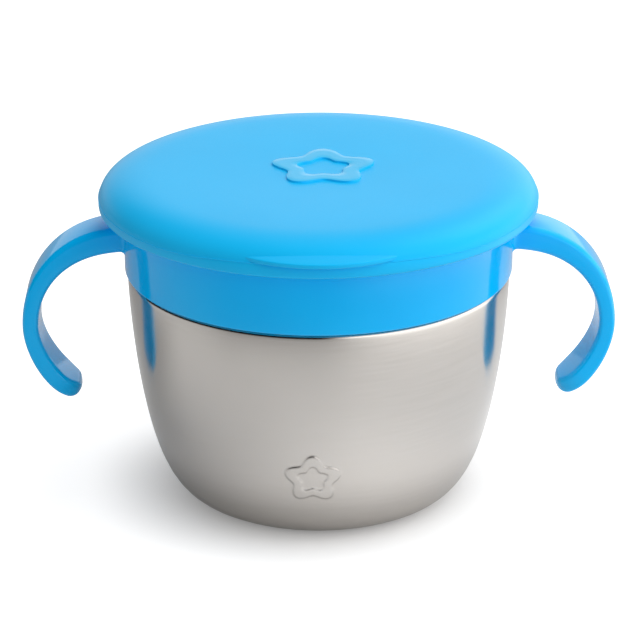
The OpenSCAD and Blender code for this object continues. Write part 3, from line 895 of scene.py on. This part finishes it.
def white_floor():
    """A white table that glows for the camera, least by the object, so that it keeps the shadow.
    Mirrored, it ends not far from the object: dim at the left and front, bright by the softbox."""
    bm = bmesh.new()
    bmesh.ops.create_grid(bm, x_segments=1, y_segments=1, size=2.5)
    mesh = bpy.data.meshes.new("floor")
    bm.to_mesh(mesh)
    bm.free()
    floor = bpy.data.objects.new("floor", mesh)
    bpy.context.scene.collection.objects.link(floor)
    material, tree, place = started("white_floor")
    material.cycles.emission_sampling = "NONE"
    rays = add(tree, "ShaderNodeLightPath")
    distance = add(tree, "ShaderNodeVectorMath", {0: place}, operation="LENGTH").outputs["Value"]
    parts = add(tree, "ShaderNodeSeparateXYZ", {"Vector": place})
    across, deep = parts.outputs["X"], parts.outputs["Y"]
    # Mirrored in the steel, the near floor is brightest just right of the middle, and dim by the
    # foot and behind the object's left side
    share = reckon(tree, "MULTIPLY", eased(tree, across, 0.02, 0.09, 1.0, 0.25), reckon(
        tree, "MULTIPLY", eased(tree, distance, 0.05, 0.11, 1.0, 0.0), eased(tree, across, -0.08, 0.03, 0.0, 0.52)))
    shown = reckon(tree, "MAXIMUM", rays.outputs["Is Camera Ray"], reckon(
        tree, "MULTIPLY", rays.outputs["Is Glossy Ray"], share))
    glow = add(tree, "ShaderNodeEmission", {
        "Strength": reckon(tree, "MULTIPLY", shown, eased(tree, distance, 0.028, 0.058, *FLOOR_GLOW))})
    # Mirrored, the table's white is darkened behind the object's left side and by the foot: painted shade
    left = reckon(tree, "MULTIPLY", eased(tree, across, -0.11, -0.02, 0.45, 0.0), eased(tree, deep, -0.03, 0.03))
    dim = reckon(tree, "MULTIPLY", rays.outputs["Is Glossy Ray"], reckon(
        tree, "MAXIMUM", left, eased(tree, distance, 0.035, 0.055, 0.3, 0.0)))
    shade = add(tree, "ShaderNodeMix", {"Factor": dim, 6: linear("#E6E6E6"), 7: (0, 0, 0, 1)}, data_type="RGBA")
    matte = add(tree, "ShaderNodeBsdfDiffuse", {"Color": shade.outputs[2]})
    table = add(tree, "ShaderNodeAddShader", {0: matte.outputs[0], 1: glow.outputs[0]})
    way = add(tree, "ShaderNodeSeparateXYZ", {
        "Vector": add(tree, "ShaderNodeVectorMath", {0: place}, operation="NORMALIZE").outputs[0]})
    sides = reckon(tree, "ADD", eased(tree, way.outputs["X"], -0.1, 1.0, 0.4, 1.05),
                   eased(tree, way.outputs["X"], -1.0, -0.7, 0.25, 0.0))
    softbox_foot = reckon(tree, "MULTIPLY", eased(tree, distance, 0.17, 0.215), eased(
        tree, way.outputs["X"], 0.0, 0.8, 0.0, 0.9))
    sides = reckon(tree, "ADD", sides, softbox_foot)
    behind = eased(tree, way.outputs["X"], -0.6, 0.0, 0.35, 0.58)
    around = add(tree, "ShaderNodeMix", {
        "Factor": eased(tree, way.outputs["Y"], 0.2, 0.7), 2: sides, 3: behind}, data_type="FLOAT").outputs[0]
    beyond = reckon(tree, "MULTIPLY", rays.outputs["Is Glossy Ray"], eased(tree, distance, 0.125, 0.175))
    surroundings = add(tree, "ShaderNodeEmission", {"Strength": around})
    both = add(tree, "ShaderNodeMixShader", {0: beyond, 1: table.outputs[0], 2: surroundings.outputs[0]})
    # A view from below sees through the table
    below = add(tree, "ShaderNodeNewGeometry").outputs["Backfacing"]
    clear = add(tree, "ShaderNodeBsdfTransparent")
    close(tree, add(tree, "ShaderNodeMixShader", {0: below, 1: both.outputs[0], 2: clear.outputs[0]}))
    mesh.materials.append(material)
    floor.location.z = -0.0001


camera()
studio_world()
white_floor()
softbox("overhead", (0.4, 0.05, 0.95), (0, 0, 0.05), 1.1, 1.1, 1.4)
softbox("right", (0.58, -0.35, 0.3), (0, 0, 0.06), 0.9, 0.5, 1.1)

steel_bowl(brushed_stainless())
collar_moulding(moulded_polypropylene())
silicone_seal(milky_silicone())
elastomer = soft_elastomer()
insert_rim(elastomer)
soft_flaps(elastomer)
# The star's polished face is smoother, and its paler blue is a painted sheen that stands in for its brighter reflection
soft_lid(silky_polyethylene("silky_polyethylene", 0.32, 0.38),
         silky_polyethylene("polished_polyethylene_painted_sheen", 0.2, 0.24, "#34BDF2", "#38C0F4"))

bpy.context.scene.view_settings.view_transform = "Standard"
